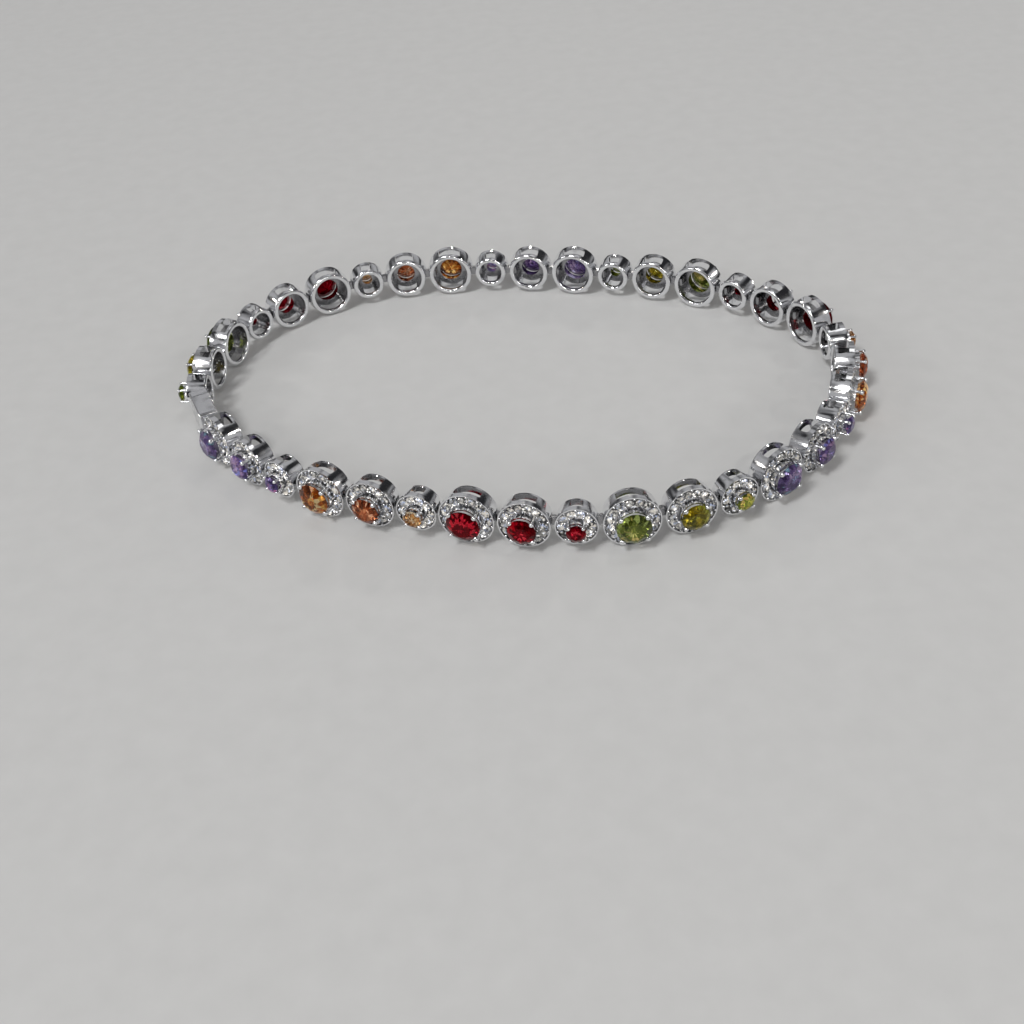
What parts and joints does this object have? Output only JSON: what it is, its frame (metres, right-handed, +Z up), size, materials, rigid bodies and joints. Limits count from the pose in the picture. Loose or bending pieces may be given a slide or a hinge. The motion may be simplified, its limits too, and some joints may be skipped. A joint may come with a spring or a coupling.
{
  "type": "tennis bracelet",
  "caption": "Closed bracelet of hinged round halo links in three repeating sizes, each with a proud main stone on four prongs, joined by a box clasp.",
  "frame": {"origin": "middle of the bracelet's extent, on the plane that the edges of its largest links rest on", "axes": "+Z up, along every hinge pin; +X along the loop's longer extent, to the right as seen from the picture's side; -Y towards that side"},
  "size_m": [0.0698, 0.053, 0.0052],
  "materials": {
    "white_metal": "mirror-polished bright white plating",
    "clear_stone": "clear faceted stones with white, pink and blue flashes",
    "purple_stone": "clear violet faceted stone",
    "orange_stone": "clear amber-orange faceted stone",
    "red_stone": "clear deep crimson faceted stone",
    "green_stone": "clear olive-green faceted stone"
  },
  "bodies": {
    "root": {"box_clasp": "white_metal", "link_01_purple_large": "white_metal", "link_02_purple_medium": "white_metal", "link_03_purple_small": "white_metal", "link_04_orange_large": "white_metal", "link_05_orange_medium": "white_metal", "link_06_orange_small": "white_metal", "link_07_red_large": "white_metal", "link_08_red_medium": "white_metal", "link_09_red_small": "white_metal", "link_10_green_large": "white_metal", "link_11_green_medium": "white_metal", "link_12_green_small": "white_metal", "link_13_purple_large": "white_metal", "link_14_purple_medium": "white_metal", "link_15_purple_small": "white_metal", "link_16_orange_large": "white_metal", "link_17_orange_medium": "white_metal", "link_18_orange_small": "white_metal", "link_19_red_large": "white_metal", "link_20_red_medium": "white_metal", "link_21_red_small": "white_metal", "link_22_green_large": "white_metal", "link_23_green_medium": "white_metal", "link_24_green_small": "white_metal", "link_25_purple_large": "white_metal", "link_26_purple_medium": "white_metal", "link_27_purple_small": "white_metal", "link_28_orange_large": "white_metal", "link_29_orange_medium": "white_metal", "link_30_orange_small": "white_metal", "link_31_red_large": "white_metal", "link_32_red_medium": "white_metal", "link_33_red_small": "white_metal", "link_34_green_large": "white_metal", "link_35_green_medium": "white_metal", "link_36_green_small": "white_metal"}
  },
  "joints": []
}
